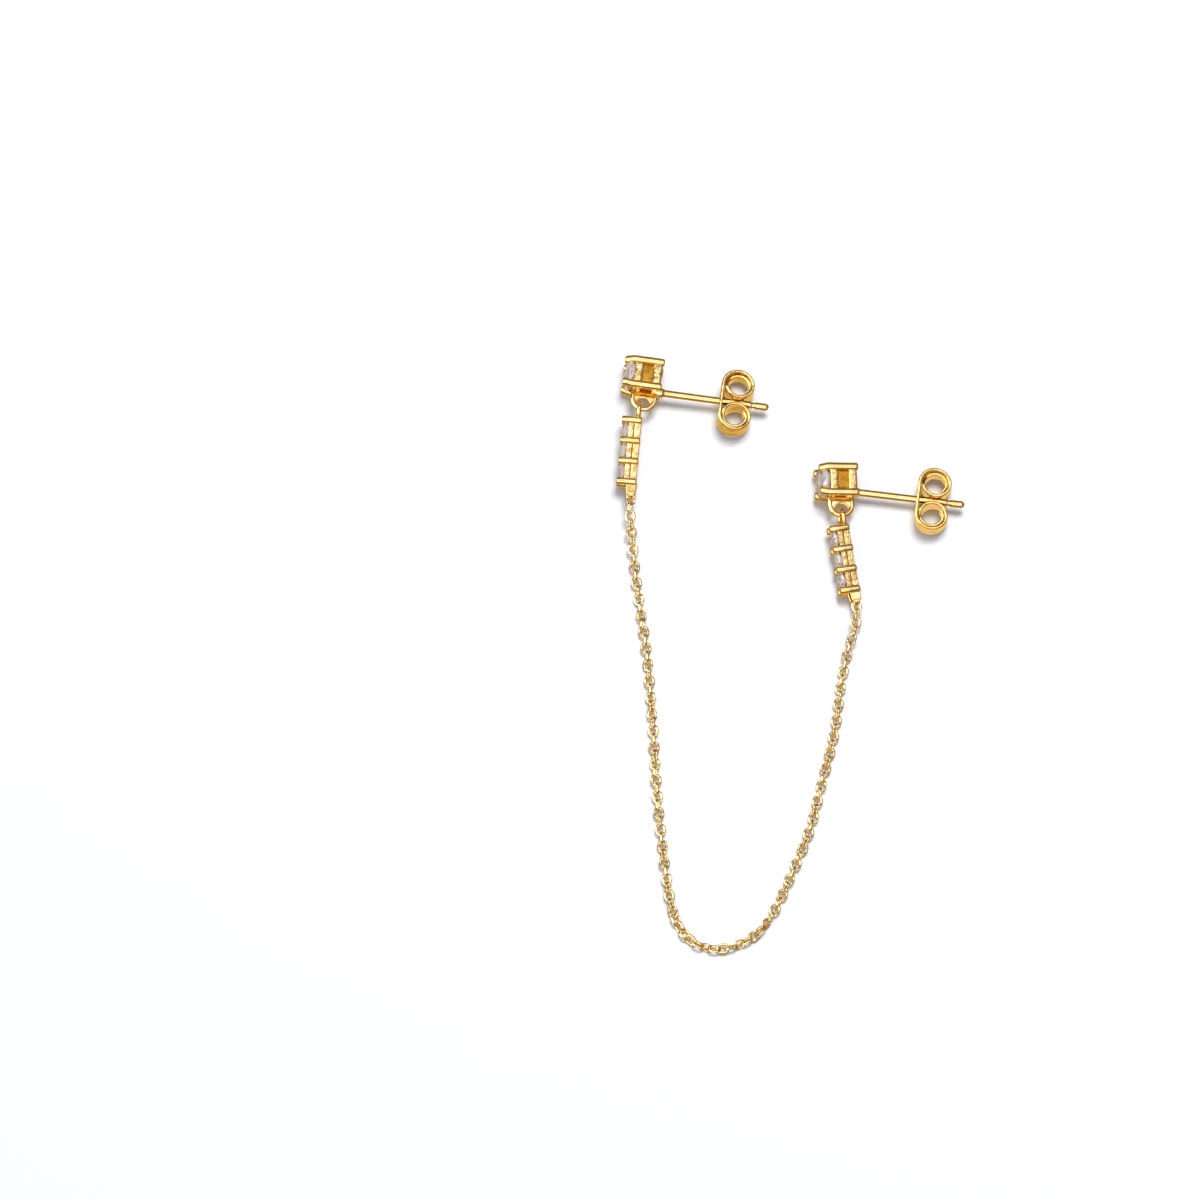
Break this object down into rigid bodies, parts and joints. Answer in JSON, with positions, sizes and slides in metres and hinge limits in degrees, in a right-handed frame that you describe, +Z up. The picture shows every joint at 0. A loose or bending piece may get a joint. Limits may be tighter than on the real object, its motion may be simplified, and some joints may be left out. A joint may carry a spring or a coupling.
{
  "type": "ear chain earring",
  "caption": "Ear chain earring of prong-set stone studs on posts with butterfly nuts, each with a hanging stone drop, joined by a fine cable chain.",
  "frame": {"origin": "middle of the whole piece as it lies, on the surface that it rests on", "axes": "+X from the stones to the tips of the posts, +Y from the low end of the chain's curve to the studs, +Z up from the surface"},
  "size_m": [0.0335, 0.0586, 0.0039],
  "materials": {
    "gold": "polished yellow gold",
    "stone": "cut and polished, clear"
  },
  "bodies": {
    "ear_chain": {"left_stud": "gold", "left_stone": "stone", "left_drop": "gold", "left_drop_stone_1": "stone", "left_drop_stone_2": "stone", "left_drop_stone_3": "stone", "right_stud": "gold", "right_stone": "stone", "right_drop": "gold", "right_drop_stone_1": "stone", "right_drop_stone_2": "stone", "right_drop_stone_3": "stone", "chain": "gold"},
    "left_nut": {"left_ear_nut": "gold"},
    "right_nut": {"right_ear_nut": "gold"}
  },
  "joints": [
    {"name": "left_nut_slide", "type": "slide", "parent": "ear_chain", "child": "left_nut", "axis": [0.9909, -0.1287, -0.0384], "range_m": [-0.0052, 0.005]},
    {"name": "right_nut_slide", "type": "slide", "parent": "ear_chain", "child": "right_nut", "axis": [0.9925, -0.1219, 0], "range_m": [-0.0046, 0.0048]}
  ]
}
